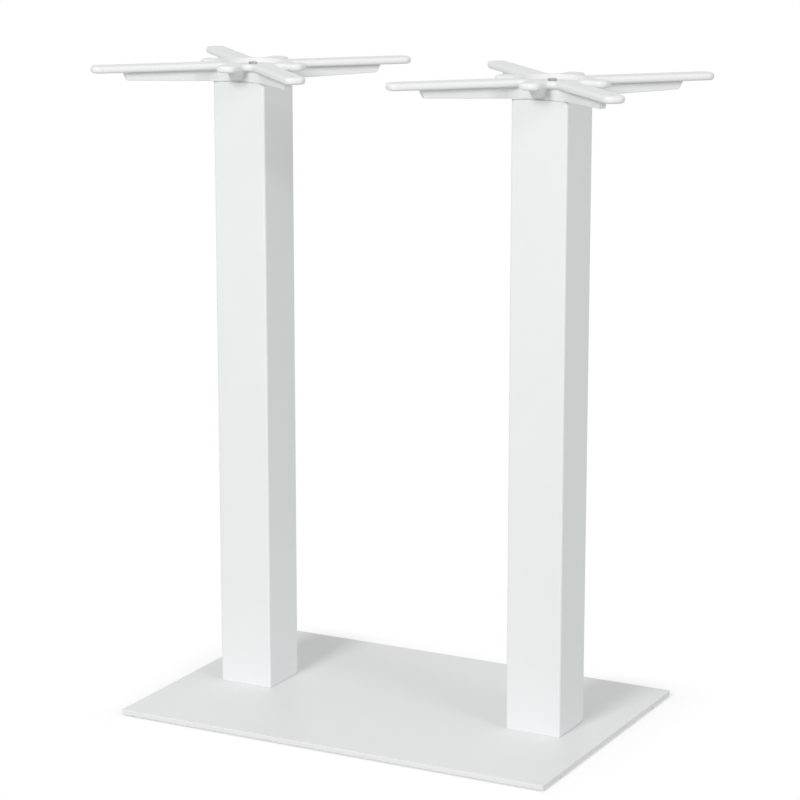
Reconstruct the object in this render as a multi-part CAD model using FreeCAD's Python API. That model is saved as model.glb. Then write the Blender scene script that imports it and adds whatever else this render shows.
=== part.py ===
import FreeCAD
import Part
import math
import os

# Twin-column pedestal table base: a floor plate, two square columns, and a cast star on each
# column that a table top is screwed to. A rod inside each column clamps star, column and plate.
# Millimetres. X runs along the plate, Y across it, Z up. The origin is on the floor, midway
# between the two columns.

# Floor plate: laser-cut steel, its top edge eased.
PLATE_LENGTH = 800.0
PLATE_DEPTH = 535.0
PLATE_THICKNESS = 8.0
PLATE_CORNER_RADIUS = 3.0
PLATE_EDGE_RADIUS = 1.0

# Glides: moulded feet, pushed into blind holes under the plate.
GLIDE_DIAMETER = 25.0
GLIDE_HEIGHT = 3.0
GLIDE_CHAMFER = 1.0
GLIDE_STEM_DIAMETER = 8.0
GLIDE_STEM_LENGTH = 5.0
GLIDE_STEM_CLEARANCE = 0.05
GLIDE_HOLE_SPARE_DEPTH = 0.5
GLIDE_INSET_X = 14.0
GLIDE_INSET_Y = 75.0

# Columns: welded square tube.
COLUMN_SPACING = 560.0
COLUMN_SIDE = 100.0
COLUMN_WALL = 2.0
COLUMN_CORNER_RADIUS = 4.0
COLUMN_END_CHAMFER = 0.8
COLUMN_LENGTH = 1067.0

# What sits inside a tube's ends clears its wall by this much.
TUBE_CLEARANCE = 0.5

# Locator: the block on the plate that the tube's foot fits round.
LOCATOR_THICKNESS = 8.0
LOCATOR_CHAMFER = 1.5
LOCATOR_SCREW_DIAMETER = 6.0
LOCATOR_SCREW_LENGTH = 14.0
LOCATOR_SCREW_HEAD_DIAMETER = 12.0
LOCATOR_SCREW_KEY = 4.0
LOCATOR_SCREW_SPACING = 60.0

# Foot bolt, coupling nut, tie rod, top nut and washer share one thread.
ROD_DIAMETER = 8.0
ROD_CHAMFER = 1.0
ROD_ABOVE_BOLT = 1.0
ROD_PAST_NUT = 0.7
FOOT_BOLT_LENGTH = 25.0
FOOT_BOLT_HEAD_DIAMETER = 16.0
FOOT_BOLT_KEY = 5.0
KEY_DEPTH = 3.0
NUT_ACROSS_FLATS = 13.0
NUT_HEIGHT = 4.0
NUT_FACE_STEP = 0.4
NUT_CHAMFER_ANGLE = 30.0
COUPLING_LENGTH = 24.0
WASHER_DIAMETER = 44.0
WASHER_THICKNESS = 2.5
THREAD_CLEARANCE = 0.05
BOLT_HOLE_CLEARANCE = 0.5
HEAD_CLEARANCE = 0.1
COUNTERSINK_HALF_ANGLE = 45.0

# Star: one casting. Heights are from its seat on the column's end. The long arms' reach is from the
# column's axis, and what the short arms and their bosses overhang is from its face.
STAR_HEIGHT = 32.0
FLANGE_THICKNESS = 12.0
FLANGE_TOP_RADIUS = 5.0
FLANGE_BOTTOM_RADIUS = 5.0
LONG_ARM_REACH = 280.0
LONG_ARM_WIDTH = 36.0
SHORT_ARM_OVERHANG = 50.0
SHORT_ARM_WIDTH = 36.0
ARM_TIP_RADIUS = 14.0
ARM_ROOT_RADIUS = 10.0
SCREW_HOLE_DIAMETER = 6.5
SCREW_HOLE_INSET = 19.0

# Star's hub: a dish that keeps washer and nut below the table top, its wall sloping in to the floor,
# and the pad under that floor.
DISH_DIAMETER = 104.0
DISH_WALL_RUN = 6.0
DISH_DEPTH = 7.5
DISH_RIM_BEVEL = 1.0
DISH_FLOOR_RADIUS = 3.0
HUB_PAD_DIAMETER = 56.0
HUB_PAD_THICKNESS = 9.0

# Star's skirt, flush with the column, and the spigot that fits in the tube. An arch in each side
# lifts the middle, so that the casting bears on the tube's corners.
SKIRT_EDGE_CHAMFER = 1.0
ARCH_RISE = 2.5
ARCH_SPAN = 80.0
SPIGOT_DEPTH = 14.0
SPIGOT_WALL = 4.0
SPIGOT_CHAMFER = 1.5

# Rib under each long arm, narrower downwards, with a gusset where it leaves the skirt.
RIB_WIDTH = 13.0
RIB_DRAFT_ANGLE = 3.0
RIB_TIP_DEPTH = 14.0
RIB_TIP_INSET = 54.0
RIB_TIP_SLANT = 7.0
RIB_ROOT_GAP = 0.5
GUSSET_RADIUS = 30.0

# Grooves under each long arm, one each side of the rib, that keep the casting's wall even.
GROOVE_EDGE_WALL = 6.0
GROOVE_RIB_WALL = 1.0
GROOVE_WEB = 6.0
GROOVE_START = 96.0
GROOVE_TIP_INSET = 60.0

# Boss under each short arm: rounded in front, narrower downwards.
BOSS_TOP_WIDTH = 30.0
BOSS_TOP_OVERHANG = 24.0
BOSS_BOTTOM_WIDTH = 21.0
BOSS_BOTTOM_OVERHANG = 14.0
BOSS_SEAT_GAP = 5.5

# Round on the lower edges of ribs and bosses.
CAST_EDGE_RADIUS = 1.5

# A fillet takes at most this share of the wall that it rounds. A cut runs this far past the face
# that it opens. Lengths closer than the last value are taken as equal.
FILLET_SHARE = 0.45
CUT_OVERRUN = 1.0
SAME_LENGTH = 1e-4

# Heights of what is stacked, from the floor up.
PLATE_TOP = GLIDE_HEIGHT + PLATE_THICKNESS
LOCATOR_TOP = PLATE_TOP + LOCATOR_THICKNESS
COLUMN_TOP = PLATE_TOP + COLUMN_LENGTH
DISH_FLOOR = STAR_HEIGHT - DISH_DEPTH
DISH_FLOOR_DIAMETER = DISH_DIAMETER - 2 * DISH_WALL_RUN
WASHER_TOP = COLUMN_TOP + DISH_FLOOR + WASHER_THICKNESS
NUT_TOP = WASHER_TOP + NUT_HEIGHT

TUBE_INSIDE = COLUMN_SIDE - 2 * COLUMN_WALL
TUBE_INSIDE_RADIUS = max(COLUMN_CORNER_RADIUS - COLUMN_WALL, TUBE_CLEARANCE)
TUBE_FILLER_SIDE = TUBE_INSIDE - 2 * TUBE_CLEARANCE
COLUMN_HALF_DIAGONAL = COLUMN_SIDE / math.sqrt(2)
SHORT_ARM_REACH = COLUMN_SIDE / 2 + SHORT_ARM_OVERHANG
FLANGE_UNDERSIDE = STAR_HEIGHT - FLANGE_THICKNESS
LONG_ANGLES = (45.0, 135.0, 225.0, 315.0)
SHORT_ANGLES = (0.0, 90.0, 180.0, 270.0)
UP = FreeCAD.Vector(0, 0, 1)


def vec(x, y, z=0.0):
    return FreeCAD.Vector(x, y, z)


def placed(shape, x=0.0, y=0.0, z=0.0, angle=0.0):
    """A copy of the shape, turned about Z and then moved."""
    copy = shape.copy()
    copy.Placement = FreeCAD.Placement(vec(x, y, z), FreeCAD.Rotation(UP, angle)).multiply(copy.Placement)
    return copy


def polar(angle, along, across):
    """A point given along and across a direction in the XY plane."""
    turn = math.radians(angle)
    x = along * math.cos(turn) - across * math.sin(turn)
    y = along * math.sin(turn) + across * math.cos(turn)
    return vec(x, y)


def line(start, end):
    return Part.LineSegment(start, end).toShape()


def arc(start, middle, end):
    return Part.Arc(start, middle, end).toShape()


def face_of(edges):
    return Part.Face(Part.Wire(Part.__sortEdges__(edges)))


def polygon_face(points):
    return Part.Face(Part.makePolygon(points + [points[0]]))


def revolved(profile):
    """A solid turned about Z from (radius, height) points."""
    face = polygon_face([vec(radius, 0, height) for radius, height in profile])
    return face.revolve(vec(0, 0), UP, 360)


def rounded_block(length, depth, radius, height, base):
    """An upright block about Z with its four upright edges rounded."""
    block = Part.makeBox(length, depth, height, vec(-length / 2, -depth / 2, base))
    upright = [edge for edge in block.Edges if edge.BoundBox.ZLength > height - SAME_LENGTH]
    return block.makeFillet(radius, upright)


def edges_at(shape, height):
    """The edges of a shape that lie wholly at one height."""
    found = []
    for edge in shape.Edges:
        box = edge.BoundBox
        if abs(box.ZMin - height) < SAME_LENGTH and abs(box.ZMax - height) < SAME_LENGTH:
            found.append(edge)
    return found


def cylinder(diameter, length, base=0.0):
    return Part.makeCylinder(diameter / 2, length, vec(0, 0, base))


def chamfered_rod(diameter, length, chamfer, base=0.0):
    """A round rod on Z with a lead-in at both ends."""
    radius = diameter / 2
    top = base + length
    return revolved([
        (0, base),
        (radius - chamfer, base),
        (radius, base + chamfer),
        (radius, top - chamfer),
        (radius - chamfer, top),
        (0, top),
    ])


def hexagon(across_flats, height, base=0.0):
    corner = across_flats / math.sqrt(3)
    points = [polar(60 * turn + 30, corner, 0) for turn in range(6)]
    prism = polygon_face(points).extrude(UP * height)
    return placed(prism, z=base)


def hex_nut(height, base):
    """A hexagon nut for the rod, with both faces turned down to a circle at the corners."""
    face_radius = NUT_ACROSS_FLATS / 2 - NUT_FACE_STEP
    corner_radius = NUT_ACROSS_FLATS / math.sqrt(3)
    bevel = (corner_radius - face_radius) * math.tan(math.radians(NUT_CHAMFER_ANGLE))
    turned = revolved([
        (0, base),
        (face_radius, base),
        (corner_radius, base + bevel),
        (corner_radius, base + height - bevel),
        (face_radius, base + height),
        (0, base + height),
    ])
    bore = cylinder(ROD_DIAMETER + 2 * THREAD_CLEARANCE, height, base)
    return hexagon(NUT_ACROSS_FLATS, height, base).common(turned).cut(bore)


def countersunk_profile(head_diameter, shank_diameter, length, base):
    """Half outline of a countersunk screw that points up, its head's face at base."""
    head_radius = head_diameter / 2
    shank_radius = shank_diameter / 2
    rise = (head_radius - shank_radius) / math.tan(math.radians(COUNTERSINK_HALF_ANGLE))
    return [
        (0, base),
        (head_radius, base),
        (shank_radius, base + rise),
        (shank_radius, base + length),
        (0, base + length),
    ]


def countersunk_screw(head_diameter, shank_diameter, length, key):
    """A countersunk screw with a hexagon socket, flush with the plate's underside."""
    body = revolved(countersunk_profile(head_diameter, shank_diameter, length, GLIDE_HEIGHT))
    return body.cut(hexagon(key, KEY_DEPTH, GLIDE_HEIGHT))


def countersunk_hole(head_diameter, shank_diameter):
    """The hole through the plate that takes such a screw."""
    head = head_diameter + 2 * HEAD_CLEARANCE
    shank = shank_diameter + 2 * BOLT_HOLE_CLEARANCE
    return revolved(countersunk_profile(head, shank, PLATE_THICKNESS, GLIDE_HEIGHT))


def column_places():
    return {"left": -COLUMN_SPACING / 2, "right": COLUMN_SPACING / 2}


def glide_places():
    reach_x = PLATE_LENGTH / 2 - GLIDE_INSET_X
    reach_y = PLATE_DEPTH / 2 - GLIDE_INSET_Y
    return {
        "front_left": (-reach_x, -reach_y),
        "front_right": (reach_x, -reach_y),
        "back_left": (-reach_x, reach_y),
        "back_right": (reach_x, reach_y),
    }


def locator_screw_places():
    return (-LOCATOR_SCREW_SPACING / 2, LOCATOR_SCREW_SPACING / 2)


def base_plate():
    plate = rounded_block(PLATE_LENGTH, PLATE_DEPTH, PLATE_CORNER_RADIUS, PLATE_THICKNESS, GLIDE_HEIGHT)
    plate = plate.makeFillet(PLATE_EDGE_RADIUS, edges_at(plate, PLATE_TOP))
    holes = []
    bolt_hole = countersunk_hole(FOOT_BOLT_HEAD_DIAMETER, ROD_DIAMETER)
    screw_hole = countersunk_hole(LOCATOR_SCREW_HEAD_DIAMETER, LOCATOR_SCREW_DIAMETER)
    for x in column_places().values():
        holes.append(placed(bolt_hole, x))
        for offset in locator_screw_places():
            holes.append(placed(screw_hole, x + offset))
    stem_hole = cylinder(
        GLIDE_STEM_DIAMETER + 2 * GLIDE_STEM_CLEARANCE,
        GLIDE_STEM_LENGTH + GLIDE_HOLE_SPARE_DEPTH,
        GLIDE_HEIGHT,
    )
    for x, y in glide_places().values():
        holes.append(placed(stem_hole, x, y))
    return plate.cut(holes)


def glide():
    """A disc that meets the floor, with a stem for the plate's blind hole."""
    disc_radius = GLIDE_DIAMETER / 2
    stem_radius = GLIDE_STEM_DIAMETER / 2
    stem_top = GLIDE_HEIGHT + GLIDE_STEM_LENGTH
    return revolved([
        (0, 0),
        (disc_radius - GLIDE_CHAMFER, 0),
        (disc_radius, GLIDE_CHAMFER),
        (disc_radius, GLIDE_HEIGHT),
        (stem_radius, GLIDE_HEIGHT),
        (stem_radius, stem_top - GLIDE_CHAMFER),
        (stem_radius - GLIDE_CHAMFER, stem_top),
        (0, stem_top),
    ])


def column():
    outside = rounded_block(COLUMN_SIDE, COLUMN_SIDE, COLUMN_CORNER_RADIUS, COLUMN_LENGTH, PLATE_TOP)
    ends = edges_at(outside, PLATE_TOP) + edges_at(outside, COLUMN_TOP)
    outside = outside.makeChamfer(min(COLUMN_END_CHAMFER, COLUMN_WALL * FILLET_SHARE), ends)
    inside = rounded_block(TUBE_INSIDE, TUBE_INSIDE, TUBE_INSIDE_RADIUS, COLUMN_LENGTH, PLATE_TOP)
    return outside.cut(inside)


def locator():
    side = TUBE_FILLER_SIDE
    block = rounded_block(side, side, TUBE_INSIDE_RADIUS, LOCATOR_THICKNESS, PLATE_TOP)
    block = block.makeChamfer(LOCATOR_CHAMFER, edges_at(block, LOCATOR_TOP))
    holes = [cylinder(ROD_DIAMETER + 2 * BOLT_HOLE_CLEARANCE, LOCATOR_THICKNESS, PLATE_TOP)]
    tapped = cylinder(LOCATOR_SCREW_DIAMETER + 2 * THREAD_CLEARANCE, LOCATOR_THICKNESS, PLATE_TOP)
    for offset in locator_screw_places():
        holes.append(placed(tapped, offset))
    return block.cut(holes)


def locator_screws():
    screw = countersunk_screw(
        LOCATOR_SCREW_HEAD_DIAMETER, LOCATOR_SCREW_DIAMETER, LOCATOR_SCREW_LENGTH, LOCATOR_SCREW_KEY
    )
    return Part.makeCompound([placed(screw, offset) for offset in locator_screw_places()])


def foot_bolt():
    return countersunk_screw(FOOT_BOLT_HEAD_DIAMETER, ROD_DIAMETER, FOOT_BOLT_LENGTH, FOOT_BOLT_KEY)


def coupling_nut():
    return hex_nut(COUPLING_LENGTH, LOCATOR_TOP)


def tie_rod():
    bottom = GLIDE_HEIGHT + FOOT_BOLT_LENGTH + ROD_ABOVE_BOLT
    return chamfered_rod(ROD_DIAMETER, NUT_TOP + ROD_PAST_NUT - bottom, ROD_CHAMFER, bottom)


def top_washer():
    base = WASHER_TOP - WASHER_THICKNESS
    hole = cylinder(ROD_DIAMETER + 2 * BOLT_HOLE_CLEARANCE, WASHER_THICKNESS, base)
    return cylinder(WASHER_DIAMETER, WASHER_THICKNESS, base).cut(hole)


def top_nut():
    return hex_nut(NUT_HEIGHT, WASHER_TOP)


def arm_sizes(angle):
    """Reach and half width of the arm at an angle."""
    if angle in LONG_ANGLES:
        return LONG_ARM_REACH, LONG_ARM_WIDTH / 2
    return SHORT_ARM_REACH, SHORT_ARM_WIDTH / 2


def arm_root(half_width, next_half_width, step):
    """How far out an arm's side ends, where the round between it and the next arm begins."""
    this_side = half_width + ARM_ROOT_RADIUS
    next_side = next_half_width + ARM_ROOT_RADIUS
    return (next_side + this_side * math.cos(step)) / math.sin(step)


def flange_outline():
    """The star seen from above: eight arms, round at the tips and at the roots between them."""
    angles = sorted(LONG_ANGLES + SHORT_ANGLES)
    step_angle = 360.0 / len(angles)
    step = math.radians(step_angle)
    edges = []
    for angle in angles:
        reach, half = arm_sizes(angle)
        next_angle = angle + step_angle
        next_half = arm_sizes(next_angle % 360)[1]
        root = arm_root(half, next_half, step)
        next_root = arm_root(next_half, half, step)
        tip_radius = min(ARM_TIP_RADIUS, 2 * half * FILLET_SHARE)
        bulge = tip_radius * (1 - math.sqrt(0.5))
        shoulder = reach - tip_radius
        tip = half - tip_radius
        edges.append(line(polar(angle, root, -half), polar(angle, shoulder, -half)))
        edges.append(arc(
            polar(angle, shoulder, -half),
            polar(angle, reach - bulge, -half + bulge),
            polar(angle, reach, -tip),
        ))
        edges.append(line(polar(angle, reach, -tip), polar(angle, reach, tip)))
        edges.append(arc(
            polar(angle, reach, tip),
            polar(angle, reach - bulge, half - bulge),
            polar(angle, shoulder, half),
        ))
        edges.append(line(polar(angle, shoulder, half), polar(angle, root, half)))
        centre = polar(angle, root, half + ARM_ROOT_RADIUS)
        inward = (centre * -1).normalize() * ARM_ROOT_RADIUS
        start = polar(angle, root, half)
        end = polar(next_angle, next_root, -next_half)
        if abs(half - next_half) > SAME_LENGTH:
            inward = ((start + end) / 2 - centre).normalize() * ARM_ROOT_RADIUS
        edges.append(arc(start, centre + inward, end))
    return face_of(edges)


def flange():
    """The arms and hub as one flat plate with soft edges."""
    plate = placed(flange_outline().extrude(UP * FLANGE_THICKNESS), z=FLANGE_UNDERSIDE)
    most = FLANGE_THICKNESS * FILLET_SHARE
    plate = plate.makeFillet(min(FLANGE_TOP_RADIUS, most), edges_at(plate, STAR_HEIGHT))
    return plate.makeFillet(min(FLANGE_BOTTOM_RADIUS, most), edges_at(plate, FLANGE_UNDERSIDE))


def skirt_arch():
    """A long flat-curved bar along X that arches two sides of the skirt."""
    half_span = ARCH_SPAN / 2
    radius = (half_span ** 2 + ARCH_RISE ** 2) / (2 * ARCH_RISE)
    segment = face_of([
        line(vec(0, -half_span, 0), vec(0, half_span, 0)),
        arc(vec(0, half_span, 0), vec(0, 0, ARCH_RISE), vec(0, -half_span, 0)),
    ])
    bar = segment.extrude(vec(COLUMN_SIDE * 2, 0, 0))
    return placed(bar, x=-COLUMN_SIDE)


def skirt_and_spigot():
    """The square foot of the casting: on the tube's end outside, and in the tube."""
    skirt = rounded_block(COLUMN_SIDE, COLUMN_SIDE, COLUMN_CORNER_RADIUS, FLANGE_UNDERSIDE, 0)
    skirt = skirt.makeChamfer(min(SKIRT_EDGE_CHAMFER, COLUMN_WALL * FILLET_SHARE), edges_at(skirt, 0))
    skirt = skirt.cut([skirt_arch(), placed(skirt_arch(), angle=90)])
    side = TUBE_FILLER_SIDE
    height = SPIGOT_DEPTH + FLANGE_UNDERSIDE
    spigot = rounded_block(side, side, TUBE_INSIDE_RADIUS, height, -SPIGOT_DEPTH)
    spigot = spigot.makeChamfer(SPIGOT_CHAMFER, edges_at(spigot, -SPIGOT_DEPTH))
    inner_side = side - 2 * SPIGOT_WALL
    hollow = rounded_block(inner_side, inner_side, TUBE_INSIDE_RADIUS, height, -SPIGOT_DEPTH)
    return skirt.fuse(spigot).cut(hollow)


def rib_side(inner):
    """The rib seen from the side, thick enough to cover rib and gussets."""
    tip = LONG_ARM_REACH - RIB_TIP_INSET
    breadth = 2 * COLUMN_SIDE
    outline = [
        (inner, FLANGE_UNDERSIDE),
        (inner, RIB_ROOT_GAP),
        (COLUMN_HALF_DIAGONAL, RIB_ROOT_GAP),
        (tip - RIB_TIP_SLANT, FLANGE_UNDERSIDE - RIB_TIP_DEPTH),
        (tip, FLANGE_UNDERSIDE),
    ]
    side = polygon_face([vec(along, -breadth / 2, height) for along, height in outline])
    return side.extrude(vec(0, breadth, 0))


def rib_web(inner):
    """The rib's straight wall, drafted so that it is thinner at the bottom."""
    tip = LONG_ARM_REACH - RIB_TIP_INSET
    top = RIB_WIDTH / 2
    bottom = top - FLANGE_UNDERSIDE * math.tan(math.radians(RIB_DRAFT_ANGLE))
    wires = []
    for half, height in ((bottom, 0.0), (top, FLANGE_UNDERSIDE)):
        corners = [
            vec(inner, -half, height),
            vec(tip, -half, height),
            vec(tip, half, height),
            vec(inner, half, height),
        ]
        wires.append(Part.makePolygon(corners + [corners[0]]))
    return Part.makeLoft(wires, True, True)


def gusset():
    """The rounds between the rib's sides and the skirt's faces at the column's corner."""
    half = RIB_WIDTH / 2
    half_turn = math.radians(45) / 2
    tangent = GUSSET_RADIUS * math.tan(half_turn)
    slant = tangent * math.sqrt(0.5)
    meet = COLUMN_HALF_DIAGONAL - half
    back = vec(meet - 2 * slant - half, 0)
    edges = [line(vec(meet + tangent, -half), vec(meet + tangent, half))]
    for side in (-1, 1):
        start = vec(meet + tangent, side * half)
        middle = vec(
            start.x - GUSSET_RADIUS * math.sin(half_turn),
            side * (half + GUSSET_RADIUS * (1 - math.cos(half_turn))),
        )
        end = vec(meet - slant, side * (half + slant))
        edges.append(arc(start, middle, end))
        edges.append(line(end, back))
    return face_of(edges).extrude(UP * FLANGE_UNDERSIDE)


def long_arm_rib():
    """Rib and gussets, with the rib's free edges rounded from the column's corner to its tip."""
    inner = HUB_PAD_DIAMETER / 2 - RIB_WIDTH / 2
    side = rib_side(inner)
    web = rib_web(inner).common(side)
    free = []
    for edge in web.Edges:
        box = edge.BoundBox
        if box.XMax > COLUMN_HALF_DIAGONAL + SAME_LENGTH and box.ZMin < FLANGE_UNDERSIDE - SAME_LENGTH:
            free.append(edge)
    web = web.makeFillet(CAST_EDGE_RADIUS, free)
    return web.fuse(gusset().common(side))


def boss_outline(width, overhang, height):
    """A D shape that starts inside the skirt's wall and is round in front."""
    half = width / 2
    start = COLUMN_SIDE / 2 - SPIGOT_WALL
    reach = COLUMN_SIDE / 2 + overhang
    shoulder = reach - half
    return Part.Wire([
        line(vec(start, -half, height), vec(shoulder, -half, height)),
        arc(vec(shoulder, -half, height), vec(reach, 0, height), vec(shoulder, half, height)),
        line(vec(shoulder, half, height), vec(start, half, height)),
        line(vec(start, half, height), vec(start, -half, height)),
    ])


def short_arm_boss():
    bottom = boss_outline(BOSS_BOTTOM_WIDTH, BOSS_BOTTOM_OVERHANG, BOSS_SEAT_GAP)
    top = boss_outline(BOSS_TOP_WIDTH, BOSS_TOP_OVERHANG, FLANGE_UNDERSIDE)
    boss = Part.makeLoft([bottom, top], True, True)
    return boss.makeFillet(CAST_EDGE_RADIUS, edges_at(boss, BOSS_SEAT_GAP))


def groove(side):
    """A round-ended groove under a long arm, on one side of its rib."""
    inner = RIB_WIDTH / 2 + GROOVE_RIB_WALL
    outer = LONG_ARM_WIDTH / 2 - GROOVE_EDGE_WALL
    half = (outer - inner) / 2
    middle = side * (inner + outer) / 2
    start = GROOVE_START + half
    end = LONG_ARM_REACH - GROOVE_TIP_INSET - half
    outline = face_of([
        line(vec(start, middle - half), vec(end, middle - half)),
        arc(vec(end, middle - half), vec(end + half, middle), vec(end, middle + half)),
        line(vec(end, middle + half), vec(start, middle + half)),
        arc(vec(start, middle + half), vec(start - half, middle), vec(start, middle - half)),
    ])
    return placed(outline.extrude(UP * (FLANGE_THICKNESS - GROOVE_WEB)), z=FLANGE_UNDERSIDE)


def hub_pad():
    """The thick round middle of the hub, which takes the nut's pull."""
    bottom = DISH_FLOOR - HUB_PAD_THICKNESS
    return cylinder(HUB_PAD_DIAMETER, FLANGE_UNDERSIDE - bottom, bottom)


def hub_cut():
    """Dish and rod hole, turned in one piece."""
    hole_radius = ROD_DIAMETER / 2 + BOLT_HOLE_CLEARANCE
    rim_radius = DISH_DIAMETER / 2
    turned = revolved([
        (0, -SPIGOT_DEPTH),
        (hole_radius, -SPIGOT_DEPTH),
        (hole_radius, DISH_FLOOR),
        (DISH_FLOOR_DIAMETER / 2, DISH_FLOOR),
        (rim_radius, STAR_HEIGHT - DISH_RIM_BEVEL),
        (rim_radius + DISH_RIM_BEVEL + CUT_OVERRUN, STAR_HEIGHT + CUT_OVERRUN),
        (0, STAR_HEIGHT + CUT_OVERRUN),
    ])
    floor_edges = []
    for edge in edges_at(turned, DISH_FLOOR):
        if edge.BoundBox.XLength > DISH_FLOOR_DIAMETER - SAME_LENGTH:
            floor_edges.append(edge)
    return turned.makeFillet(DISH_FLOOR_RADIUS, floor_edges)


def screw_holes():
    """One hole near each arm's tip. The screws are driven from below, so nothing is left under them."""
    hole = cylinder(SCREW_HOLE_DIAMETER, STAR_HEIGHT)
    holes = []
    for angle in LONG_ANGLES + SHORT_ANGLES:
        place = polar(angle, arm_sizes(angle)[0] - SCREW_HOLE_INSET, 0)
        holes.append(placed(hole, place.x, place.y))
    return holes


def star_top():
    body = flange().fuse([skirt_and_spigot(), hub_pad()])
    added = [placed(long_arm_rib(), angle=angle) for angle in LONG_ANGLES]
    added += [placed(short_arm_boss(), angle=angle) for angle in SHORT_ANGLES]
    body = body.fuse(added).removeSplitter()
    cuts = screw_holes() + [hub_cut()]
    for angle in LONG_ANGLES:
        for side in (-1, 1):
            cuts.append(placed(groove(side), angle=angle))
    return placed(body.cut(cuts), z=COLUMN_TOP)


def export(name, shape):
    shape.exportStep(os.path.join("parts", name + ".step"))


def build():
    os.makedirs("parts", exist_ok=True)
    export("base_plate", base_plate())
    foot = glide()
    for name, (x, y) in glide_places().items():
        export("glide_" + name, placed(foot, x, y))
    column_pieces = {
        "column": column(),
        "star_top": star_top(),
        "tie_rod": tie_rod(),
        "top_nut": top_nut(),
        "top_washer": top_washer(),
        "coupling_nut": coupling_nut(),
        "foot_bolt": foot_bolt(),
        "locator": locator(),
        "locator_screws": locator_screws(),
    }
    for side, x in column_places().items():
        for name, shape in column_pieces.items():
            export(side + "_" + name, placed(shape, x))


build()
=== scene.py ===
import math

import bpy
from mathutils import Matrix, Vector


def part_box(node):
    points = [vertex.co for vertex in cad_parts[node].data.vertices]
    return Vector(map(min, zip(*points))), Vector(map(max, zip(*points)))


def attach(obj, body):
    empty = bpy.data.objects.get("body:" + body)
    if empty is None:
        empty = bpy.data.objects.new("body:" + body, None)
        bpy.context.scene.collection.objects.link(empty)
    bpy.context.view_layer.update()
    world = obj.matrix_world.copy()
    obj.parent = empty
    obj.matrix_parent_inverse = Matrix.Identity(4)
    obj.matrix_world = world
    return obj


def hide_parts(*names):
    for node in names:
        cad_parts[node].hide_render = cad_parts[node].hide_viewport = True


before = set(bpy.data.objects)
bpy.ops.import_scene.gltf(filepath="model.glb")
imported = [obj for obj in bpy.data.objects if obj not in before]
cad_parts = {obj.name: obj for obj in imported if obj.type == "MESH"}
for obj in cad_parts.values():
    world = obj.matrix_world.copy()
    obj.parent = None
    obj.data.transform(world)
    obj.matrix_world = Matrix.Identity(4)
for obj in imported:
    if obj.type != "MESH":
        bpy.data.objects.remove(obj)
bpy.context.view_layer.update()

# Floor plate. One piece of 8 mm steel sheet, cut to size with its top edge eased, blasted and powder
# coated in a satin white. The baked coat has a faint orange peel, finest where it lies on flat sheet.
PLATE_WHITE = (0.81, 0.825, 0.825, 1.0)
SHEET_PEEL_WIDTH = 0.0024
SHEET_PEEL_DEPTH = 0.000012
PEEL_DETAIL = 1.0
SATIN_ROUGHNESS = 0.43
ROUGHNESS_SWING = 0.03
FILM_CLOUD_WIDTH = 0.12
FILM_CLOUD_DETAIL = 2.0
THIN_FILM_SHARE = 0.985
COAT_GRAIN_WIDTH = 0.0006
COAT_GRAIN_DEPTH = 0.000003
COAT_GRAIN_DETAIL = 0.0
NOISE_LOW = 0.3
NOISE_HIGH = 0.7


def new_finish(name):
    """A new material: itself, its node tree, its shader and the Object coordinates."""
    finish = bpy.data.materials.new(name)
    finish.use_nodes = True
    tree = finish.node_tree
    place = tree.nodes.new("ShaderNodeTexCoord").outputs["Object"]
    return finish, tree, tree.nodes["Principled BSDF"], place


def noise(tree, place, grain_width, detail):
    """Soft noise whose bumps are about grain_width metres apart."""
    texture = tree.nodes.new("ShaderNodeTexNoise")
    texture.inputs["Scale"].default_value = 1.0 / grain_width
    texture.inputs["Detail"].default_value = detail
    tree.links.new(place, texture.inputs["Vector"])
    return texture.outputs["Fac"]


def spread(tree, value, lowest, highest):
    """The noise, which keeps near one half, stretched over a range."""
    span = tree.nodes.new("ShaderNodeMapRange")
    span.inputs["From Min"].default_value = NOISE_LOW
    span.inputs["From Max"].default_value = NOISE_HIGH
    span.inputs["To Min"].default_value = lowest
    span.inputs["To Max"].default_value = highest
    tree.links.new(value, span.inputs["Value"])
    return span.outputs["Result"]


def tint(tree, value, dark, light):
    """A colour between two, chosen by the noise."""
    ramp = tree.nodes.new("ShaderNodeValToRGB")
    for stop, position, colour in zip(ramp.color_ramp.elements, (NOISE_LOW, NOISE_HIGH), (dark, light)):
        stop.position = position
        stop.color = colour
    tree.links.new(value, ramp.inputs["Fac"])
    return ramp.outputs["Color"]


def relief(tree, shader, height, depth, under=None):
    """Bump of a real depth in metres, laid over another bump if there is one."""
    bump = tree.nodes.new("ShaderNodeBump")
    bump.inputs["Strength"].default_value = 1.0
    bump.inputs["Distance"].default_value = depth
    tree.links.new(height, bump.inputs["Height"])
    if under is not None:
        tree.links.new(under, bump.inputs["Normal"])
    tree.links.new(bump.outputs["Normal"], shader.inputs["Normal"])
    return bump.outputs["Normal"]


def powder_coat(name, white, peel_width, peel_depth):
    """Baked powder coat: peel, a fine grain on it, and film that varies a little in tone and gloss."""
    finish, tree, shader, place = new_finish(name)
    thin_film = tuple(channel * THIN_FILM_SHARE for channel in white[:3]) + (1.0,)
    glossiest = SATIN_ROUGHNESS - ROUGHNESS_SWING
    dullest = SATIN_ROUGHNESS + ROUGHNESS_SWING
    film = noise(tree, place, FILM_CLOUD_WIDTH, FILM_CLOUD_DETAIL)
    tree.links.new(tint(tree, film, thin_film, white), shader.inputs["Base Color"])
    tree.links.new(spread(tree, film, glossiest, dullest), shader.inputs["Roughness"])
    peel = relief(tree, shader, noise(tree, place, peel_width, PEEL_DETAIL), peel_depth)
    grain = noise(tree, place, COAT_GRAIN_WIDTH, COAT_GRAIN_DETAIL)
    relief(tree, shader, grain, COAT_GRAIN_DEPTH, peel)
    return finish


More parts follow.
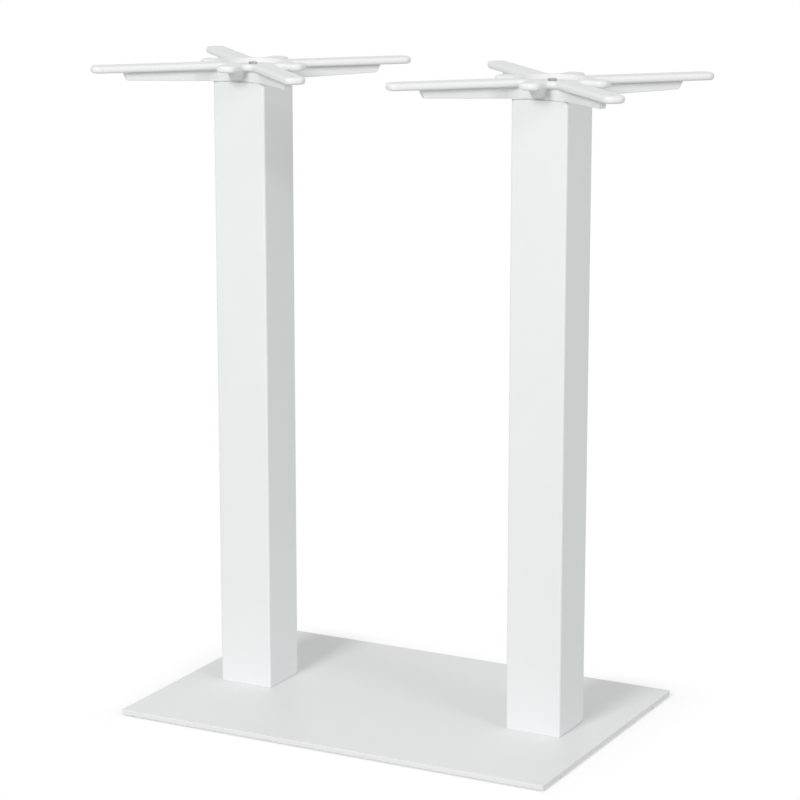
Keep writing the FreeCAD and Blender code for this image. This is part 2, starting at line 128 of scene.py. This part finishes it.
def coat(name, finish):
    """Gives a CAD piece its finish in place of the plain one that it comes with."""
    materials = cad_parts[name].data.materials
    materials.clear()
    materials.append(finish)


coat("base_plate", powder_coat("plate_coat", PLATE_WHITE, SHEET_PEEL_WIDTH, SHEET_PEEL_DEPTH))

# Locators. Square blocks of 8 mm bar, sawn and left bare under a film of oil, that the columns' feet
# fit round. Each is held on the plate by two countersunk screws, driven up from under it.
SIDES = ("left", "right")
STEEL_DARK = (0.30, 0.295, 0.285, 1.0)
STEEL_LIGHT = (0.42, 0.415, 0.41, 1.0)
OILY_ROUGHNESS = 0.32
DRY_ROUGHNESS = 0.5
OIL_PATCH_WIDTH = 0.018
OIL_PATCH_DETAIL = 3.0
SAW_MARK_PITCH = 0.0011
SAW_MARK_WANDER = 1.2
SAW_MARK_DEPTH = 0.00001

sawn_steel, tree, shader, place = new_finish("sawn_steel")
shader.inputs["Metallic"].default_value = 1.0
oil = noise(tree, place, OIL_PATCH_WIDTH, OIL_PATCH_DETAIL)
tree.links.new(tint(tree, oil, STEEL_DARK, STEEL_LIGHT), shader.inputs["Base Color"])
tree.links.new(spread(tree, oil, OILY_ROUGHNESS, DRY_ROUGHNESS), shader.inputs["Roughness"])
saw_marks = tree.nodes.new("ShaderNodeTexWave")
saw_marks.inputs["Scale"].default_value = 1.0 / SAW_MARK_PITCH / (2.0 * math.pi)
saw_marks.inputs["Distortion"].default_value = SAW_MARK_WANDER
tree.links.new(place, saw_marks.inputs["Vector"])
relief(tree, shader, saw_marks.outputs["Fac"], SAW_MARK_DEPTH)
for side in SIDES:
    coat(side + "_locator", sawn_steel)

# Screws, foot bolts and coupling nuts. Cold-headed steel, zinc plated and passivated clear, so that
# it has a bluish silver shine that is a little cloudy.
ZINC_DULL = (0.56, 0.58, 0.61, 1.0)
ZINC_BRIGHT = (0.70, 0.71, 0.73, 1.0)
ZINC_CLOUD_WIDTH = 0.004
ZINC_CLOUD_DETAIL = 3.0
ZINC_SMOOTHEST = 0.26
ZINC_ROUGHEST = 0.42
ZINC_PIT_WIDTH = 0.0005
ZINC_PIT_DEPTH = 0.000006
ZINC_PIT_DETAIL = 2.0


def plated(name, dull, bright, cloud_width):
    """Zinc plate with its passivate: cloudy metal with fine pits."""
    finish, tree, shader, place = new_finish(name)
    shader.inputs["Metallic"].default_value = 1.0
    cloud = noise(tree, place, cloud_width, ZINC_CLOUD_DETAIL)
    tree.links.new(tint(tree, cloud, dull, bright), shader.inputs["Base Color"])
    tree.links.new(spread(tree, cloud, ZINC_SMOOTHEST, ZINC_ROUGHEST), shader.inputs["Roughness"])
    relief(tree, shader, noise(tree, place, ZINC_PIT_WIDTH, ZINC_PIT_DETAIL), ZINC_PIT_DEPTH)
    return finish


clear_zinc = plated("clear_zinc", ZINC_DULL, ZINC_BRIGHT, ZINC_CLOUD_WIDTH)
for side in SIDES:
    for piece in ("locator_screws", "foot_bolt", "coupling_nut"):
        coat(side + "_" + piece, clear_zinc)

# Tie rods. Round steel bar, zinc plated, with a thread rolled on each end: one end turns into the
# coupling nut at the column's foot, and the top nut on the other clamps star, column and plate.
THREAD_PITCH = 0.00125
THREAD_DEPTH = 0.00077
THREAD_LENGTH = 0.050
THREAD_LEAD_IN = 0.0010
THREAD_ROUND_STEPS = 32
RUN_OUT_SLOPE = 0.3
THREAD_ENDS = 2.0
ROWS_PER_PITCH = 4
SPARE_PITCHES = 2.0
PITCHES_BEFORE_START = 1.5
CREST_MIDDLE = 0.375
CREST_HALF_WIDTH = 0.2
WELD_DISTANCE = 1e-6


def node_maths(tree, operation, first, second=None, third=None):
    """One Math node, fed by sockets or numbers."""
    maths = tree.nodes.new("ShaderNodeMath")
    maths.operation = operation
    for slot, value in enumerate((first, second, third)):
        if isinstance(value, bpy.types.NodeSocket):
            tree.links.new(value, maths.inputs[slot])
        elif value is not None:
            maths.inputs[slot].default_value = value
    return maths.outputs[0]


def thread_tree():
    """A rod on Z with a thread rolled on both ends, as one closed skin wound along the helix."""
    tree = bpy.data.node_groups.new("rolled_thread", "GeometryNodeTree")
    tree.interface.new_socket("Geometry", in_out="OUTPUT", socket_type="NodeSocketGeometry")
    for name in ("Bottom", "Length", "Radius", "Thread Length", "Pitch", "Depth", "Lead In"):
        tree.interface.new_socket(name, in_out="INPUT", socket_type="NodeSocketFloat")
    tree.interface.new_socket("Round Steps", in_out="INPUT", socket_type="NodeSocketInt")
    tree.interface.new_socket("Finish", in_out="INPUT", socket_type="NodeSocketMaterial")
    given = tree.nodes.new("NodeGroupInput").outputs

    # The skin starts as a grid, one by one about the origin. Its X goes round the rod and its rows
    # climb it: those of the lower thread, and from the middle on those of the upper one.
    thread_rows = node_maths(tree, "DIVIDE", given["Thread Length"], given["Pitch"])
    thread_rows = node_maths(tree, "MULTIPLY", thread_rows, ROWS_PER_PITCH)
    spare_rows = THREAD_ENDS * SPARE_PITCHES * ROWS_PER_PITCH
    rows = node_maths(tree, "MULTIPLY_ADD", thread_rows, THREAD_ENDS, spare_rows)
    grid = tree.nodes.new("GeometryNodeMeshGrid")
    grid.inputs["Size X"].default_value = 1.0
    grid.inputs["Size Y"].default_value = 1.0
    tree.links.new(node_maths(tree, "ADD", given["Round Steps"], 1.0), grid.inputs["Vertices X"])
    tree.links.new(node_maths(tree, "ADD", rows, 1.0), grid.inputs["Vertices Y"])
    spot = tree.nodes.new("ShaderNodeSeparateXYZ")
    tree.links.new(tree.nodes.new("GeometryNodeInputPosition").outputs[0], spot.inputs[0])
    around = node_maths(tree, "ADD", spot.outputs["X"], 0.5)
    along = node_maths(tree, "ADD", spot.outputs["Y"], 0.5)
    row = node_maths(tree, "ROUND", node_maths(tree, "MULTIPLY", along, rows))
    upper = node_maths(tree, "GREATER_THAN", along, 0.5)

    # Each row lies on the helix. The plain bar is one long step between the threads, and what would
    # stand past either end of a thread is laid flat there.
    climb = node_maths(tree, "MULTIPLY_ADD", row, 1.0 / ROWS_PER_PITCH, around)
    climb = node_maths(tree, "SUBTRACT", climb, PITCHES_BEFORE_START)
    climb = node_maths(tree, "MULTIPLY", climb, given["Pitch"])
    plain = node_maths(tree, "MULTIPLY_ADD", given["Thread Length"], -THREAD_ENDS, given["Length"])
    plain = node_maths(tree, "SUBTRACT", plain, node_maths(tree, "MULTIPLY", given["Pitch"], SPARE_PITCHES))
    height = node_maths(tree, "MULTIPLY_ADD", upper, plain, climb)
    upper_start = node_maths(tree, "SUBTRACT", given["Length"], given["Thread Length"])
    lowest = node_maths(tree, "MULTIPLY", upper, upper_start)
    highest = node_maths(tree, "ADD", lowest, given["Thread Length"])
    height = node_maths(tree, "MAXIMUM", node_maths(tree, "MINIMUM", height, highest), lowest)
    from_end = node_maths(tree, "MINIMUM", height, node_maths(tree, "SUBTRACT", given["Length"], height))

    # The radius is full on a crest and less in a root, which runs out to the plain bar. It is less
    # near an end too, and nought in the first and the last row, which closes the rod.
    phase = node_maths(tree, "FRACT", node_maths(tree, "MULTIPLY", row, 1.0 / ROWS_PER_PITCH))
    off_crest = node_maths(tree, "ABSOLUTE", node_maths(tree, "SUBTRACT", phase, CREST_MIDDLE))
    in_root = node_maths(tree, "GREATER_THAN", off_crest, CREST_HALF_WIDTH)
    run_out = node_maths(tree, "SUBTRACT", given["Thread Length"], from_end)
    run_out = node_maths(tree, "MULTIPLY", run_out, RUN_OUT_SLOPE)
    cut = node_maths(tree, "MINIMUM", node_maths(tree, "MULTIPLY", in_root, given["Depth"]), run_out)
    radius = node_maths(tree, "SUBTRACT", given["Radius"], cut)
    chamfer = node_maths(tree, "SUBTRACT", given["Radius"], given["Lead In"])
    chamfer = node_maths(tree, "ADD", chamfer, from_end)
    radius = node_maths(tree, "MINIMUM", radius, chamfer)
    not_first = node_maths(tree, "GREATER_THAN", row, 0.5)
    not_last = node_maths(tree, "LESS_THAN", row, node_maths(tree, "SUBTRACT", rows, 0.5))
    radius = node_maths(tree, "MULTIPLY", radius, node_maths(tree, "MULTIPLY", not_first, not_last))

    turn = node_maths(tree, "MULTIPLY", around, 2.0 * math.pi)
    point = tree.nodes.new("ShaderNodeCombineXYZ")
    for axis, wave in (("X", "COSINE"), ("Y", "SINE")):
        reach = node_maths(tree, "MULTIPLY", radius, node_maths(tree, wave, turn))
        tree.links.new(reach, point.inputs[axis])
    tree.links.new(node_maths(tree, "ADD", height, given["Bottom"]), point.inputs["Z"])
    wrap = tree.nodes.new("GeometryNodeSetPosition")
    tree.links.new(grid.outputs["Mesh"], wrap.inputs["Geometry"])
    tree.links.new(point.outputs[0], wrap.inputs["Position"])
    weld = tree.nodes.new("GeometryNodeMergeByDistance")
    weld.inputs["Distance"].default_value = WELD_DISTANCE
    tree.links.new(wrap.outputs[0], weld.inputs["Geometry"])
    whole = tree.nodes.new("GeometryNodeRealizeInstances")
    tree.links.new(weld.outputs[0], whole.inputs[0])
    finish = tree.nodes.new("GeometryNodeSetMaterial")
    tree.links.new(whole.outputs[0], finish.inputs["Geometry"])
    tree.links.new(given["Finish"], finish.inputs["Material"])
    tree.links.new(finish.outputs[0], tree.nodes.new("NodeGroupOutput").inputs[0])
    return tree


def made_by_nodes(name, tree, values):
    """The plain mesh that a node tree makes from these input values."""
    maker = bpy.data.objects.new(name, bpy.data.meshes.new(name))
    bpy.context.scene.collection.objects.link(maker)
    modifier = maker.modifiers.new("nodes", "NODES")
    modifier.node_group = tree
    for socket in tree.interface.items_tree:
        if socket.in_out == "INPUT":
            modifier[socket.identifier] = values[socket.name]
    evaluated = maker.evaluated_get(bpy.context.evaluated_depsgraph_get())
    mesh = bpy.data.meshes.new_from_object(evaluated)
    maker.modifiers.clear()
    maker.data = mesh
    return maker


rolled_thread = thread_tree()
for side in SIDES:
    low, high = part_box(side + "_tie_rod")
    rod = made_by_nodes(side + "_threaded_rod", rolled_thread, {
        "Bottom": low.z,
        "Length": high.z - low.z,
        "Radius": (high.x - low.x) / 2.0,
        "Thread Length": THREAD_LENGTH,
        "Pitch": THREAD_PITCH,
        "Depth": THREAD_DEPTH,
        "Lead In": THREAD_LEAD_IN,
        "Round Steps": THREAD_ROUND_STEPS,
        "Finish": clear_zinc,
    })
    for vertex in rod.data.vertices:
        vertex.co.x += (low.x + high.x) / 2.0
    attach(rod, "root")
    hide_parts(side + "_tie_rod")

# Columns. Welded square steel tube, 100 x 100 x 2 mm, cut square, its ends eased, cleaned and powder
# coated outside. The coat runs a little heavier here than on the plate, so its peel is wider.
COLUMN_WHITE = (0.805, 0.82, 0.82, 1.0)
TUBE_PEEL_WIDTH = 0.0030
TUBE_PEEL_DEPTH = 0.000014

tube_coat = powder_coat("column_coat", COLUMN_WHITE, TUBE_PEEL_WIDTH, TUBE_PEEL_DEPTH)
for side in SIDES:
    coat(side + "_column", tube_coat)

# Star tops. Each is one die casting in aluminium, trimmed, deburred by tumbling and powder coated
# white. The film flows over its round edges and leaves them softer than those of the sheet.
CAST_WHITE = (0.80, 0.81, 0.81, 1.0)
CAST_PEEL_WIDTH = 0.0018
CAST_PEEL_DEPTH = 0.000016

casting_coat = powder_coat("casting_coat", CAST_WHITE, CAST_PEEL_WIDTH, CAST_PEEL_DEPTH)
for side in SIDES:
    coat(side + "_star_top", casting_coat)

# Top washers and nuts. Wide stamped washers in the same clear zinc, and thin nuts passivated yellow,
# which looks brownish down in the hub's dish.
YELLOW_DULL = (0.50, 0.42, 0.36, 1.0)
YELLOW_BRIGHT = (0.70, 0.62, 0.54, 1.0)
YELLOW_CLOUD_WIDTH = 0.005

yellow_zinc = plated("yellow_zinc", YELLOW_DULL, YELLOW_BRIGHT, YELLOW_CLOUD_WIDTH)
for side in SIDES:
    coat(side + "_top_washer", clear_zinc)
    coat(side + "_top_nut", yellow_zinc)

# Glides. Black polypropylene mouldings with a stem, tapped into blind holes under the plate so that
# the steel never touches the floor. Their faces carry the mould's fine spark-eroded grain.
GLIDE_BLACK = (0.018, 0.018, 0.020, 1.0)
GLIDE_SCUFFED = (0.045, 0.045, 0.047, 1.0)
SCUFF_WIDTH = 0.009
SCUFF_DETAIL = 4.0
SCUFF_SMOOTHEST = 0.45
SCUFF_ROUGHEST = 0.62
MOULD_GRAIN_WIDTH = 0.0004
MOULD_GRAIN_DEPTH = 0.00002
MOULD_GRAIN_DETAIL = 1.0

glide_plastic, tree, shader, place = new_finish("glide_plastic")
scuffs = noise(tree, place, SCUFF_WIDTH, SCUFF_DETAIL)
tree.links.new(tint(tree, scuffs, GLIDE_BLACK, GLIDE_SCUFFED), shader.inputs["Base Color"])
tree.links.new(spread(tree, scuffs, SCUFF_SMOOTHEST, SCUFF_ROUGHEST), shader.inputs["Roughness"])
relief(tree, shader, noise(tree, place, MOULD_GRAIN_WIDTH, MOULD_GRAIN_DETAIL), MOULD_GRAIN_DEPTH)
for end in ("front", "back"):
    for side in SIDES:
        coat("glide_" + end + "_" + side, glide_plastic)

# Studio. A white paper floor that runs off into a white room. The room lights the base evenly, a big
# soft lamp stands in front and a weaker, farther one to the right. The camera is where the photo's was.
# The eye sees the paper lifted to white, with the base's shadow on it, and plain white further off.
ROOM_LIGHT = 0.56
ROOM_SEEN = 1.0
PLAIN_WHITE = (1.0, 1.0, 1.0, 1.0)
FLOOR_HALF = 30.0
PAPER = (0.58, 0.58, 0.58, 1.0)
PAPER_LIFT = 0.47
PAPER_FAR = 1.0
SHADOW_REACH = 0.08
LAMP_TARGET = (0.0, 0.0, 0.6)
FRONT_LAMP_PLACE = (-0.4, -6.9, 4.5)
FRONT_LAMP_SIZE = (1.6, 2.6)
FRONT_LAMP_WATTS = 300.0
RIGHT_LAMP_PLACE = (18.0, -6.4, 7.0)
RIGHT_LAMP_SIZE = (5.2, 5.2)
RIGHT_LAMP_WATTS = 780.0
CAMERA_PLACE = (2.1566, -4.1169, 1.6002)
CAMERA_PAN = 27.621
CAMERA_TILT = 12.766
CAMERA_LEVEL = 90.0
CAMERA_SIGHT = 100.0
FOCAL_PIXELS = 2800.0
IMAGE_PIXELS = 800.0
SENSOR_WIDTH = 36.0


def seen_plainly(tree):
    """One for rays that should see the plain white background: from the eye, a gloss or a glass."""
    light_path = tree.nodes.new("ShaderNodeLightPath").outputs
    direct = node_maths(tree, "MAXIMUM", light_path["Is Camera Ray"], light_path["Is Glossy Ray"])
    return node_maths(tree, "MAXIMUM", direct, light_path["Is Transmission Ray"])


def mixed(tree, share, first, second):
    """The first shader, with this share of it given over to the second."""
    mix = tree.nodes.new("ShaderNodeMixShader")
    for slot, value in enumerate((share, first, second)):
        tree.links.new(value, mix.inputs[slot])
    return mix.outputs[0]


def place_maths(tree, operation, first, second=None):
    """One Vector Math node, fed by a socket and, where it takes two, by a plain vector."""
    maths = tree.nodes.new("ShaderNodeVectorMath")
    maths.operation = operation
    tree.links.new(first, maths.inputs[0])
    if second is not None:
        maths.inputs[1].default_value = second
    return maths.outputs["Value" if operation == "LENGTH" else "Vector"]


def distance_past(tree, corner):
    """How far a place on the floor lies outside a rectangle about the origin with this corner."""
    place = tree.nodes.new("ShaderNodeTexCoord").outputs["Object"]
    past = place_maths(tree, "SUBTRACT", place_maths(tree, "ABSOLUTE", place), (corner.x, corner.y, 0.0))
    return place_maths(tree, "LENGTH", place_maths(tree, "MAXIMUM", past, (0.0, 0.0, 0.0)))


def room_wall(tree, strength):
    """The room's plain white, this strong."""
    wall = tree.nodes.new("ShaderNodeBackground")
    wall.inputs["Color"].default_value = PLAIN_WHITE
    wall.inputs["Strength"].default_value = strength
    return wall.outputs[0]


def soft_lamp(name, place, size, watts):
    """A rectangular soft box that faces the base."""
    lamp_data = bpy.data.lights.new(name, "AREA")
    lamp_data.shape = "RECTANGLE"
    lamp_data.size, lamp_data.size_y = size
    lamp_data.energy = watts
    lamp = bpy.data.objects.new(name, lamp_data)
    scene.collection.objects.link(lamp)
    lamp.location = place
    aim = Vector(LAMP_TARGET) - Vector(place)
    lamp.rotation_euler = aim.to_track_quat("-Z", "Y").to_euler()


scene = bpy.context.scene
scene.view_settings.view_transform = "Standard"

room = bpy.data.worlds.new("white_room")
scene.world = room
room.use_nodes = True
tree = room.node_tree
tree.nodes.clear()
walls = mixed(tree, seen_plainly(tree), room_wall(tree, ROOM_LIGHT), room_wall(tree, ROOM_SEEN))
tree.links.new(walls, tree.nodes.new("ShaderNodeOutputWorld").inputs["Surface"])

paper = bpy.data.materials.new("white_paper")
paper.use_nodes = True
tree = paper.node_tree
tree.nodes.clear()
plainly = seen_plainly(tree)
paper_lit = tree.nodes.new("ShaderNodeBsdfDiffuse")
paper_lit.inputs["Color"].default_value = PAPER
paper_lift = tree.nodes.new("ShaderNodeEmission")
tree.links.new(node_maths(tree, "MULTIPLY", plainly, PAPER_LIFT), paper_lift.inputs["Strength"])
paper_near = tree.nodes.new("ShaderNodeAddShader")
tree.links.new(paper_lit.outputs[0], paper_near.inputs[0])
tree.links.new(paper_lift.outputs[0], paper_near.inputs[1])
paper_far = tree.nodes.new("ShaderNodeEmission")
paper_far.inputs["Strength"].default_value = PAPER_FAR
plate_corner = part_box("base_plate")[1]
far_share = node_maths(tree, "DIVIDE", distance_past(tree, plate_corner), SHADOW_REACH)
far_share = node_maths(tree, "MULTIPLY", node_maths(tree, "MINIMUM", far_share, 1.0), plainly)
sheet = mixed(tree, far_share, paper_near.outputs[0], paper_far.outputs[0])
tree.links.new(sheet, tree.nodes.new("ShaderNodeOutputMaterial").inputs["Surface"])

floor_mesh = bpy.data.meshes.new("floor")
floor_corners = [(x * FLOOR_HALF, y * FLOOR_HALF, 0.0) for x, y in ((-1, -1), (1, -1), (1, 1), (-1, 1))]
floor_mesh.from_pydata(floor_corners, [], [(0, 1, 2, 3)])
floor_mesh.materials.append(paper)
floor = bpy.data.objects.new("floor", floor_mesh)
scene.collection.objects.link(floor)

soft_lamp("front_lamp", FRONT_LAMP_PLACE, FRONT_LAMP_SIZE, FRONT_LAMP_WATTS)
soft_lamp("right_lamp", RIGHT_LAMP_PLACE, RIGHT_LAMP_SIZE, RIGHT_LAMP_WATTS)

camera_data = bpy.data.cameras.new("camera")
camera_data.sensor_width = SENSOR_WIDTH
camera_data.lens = FOCAL_PIXELS / IMAGE_PIXELS * SENSOR_WIDTH
camera_data.clip_end = CAMERA_SIGHT
camera = bpy.data.objects.new("camera", camera_data)
scene.collection.objects.link(camera)
camera.location = CAMERA_PLACE
camera.rotation_euler = (math.radians(CAMERA_LEVEL - CAMERA_TILT), 0.0, math.radians(CAMERA_PAN))
scene.camera = camera
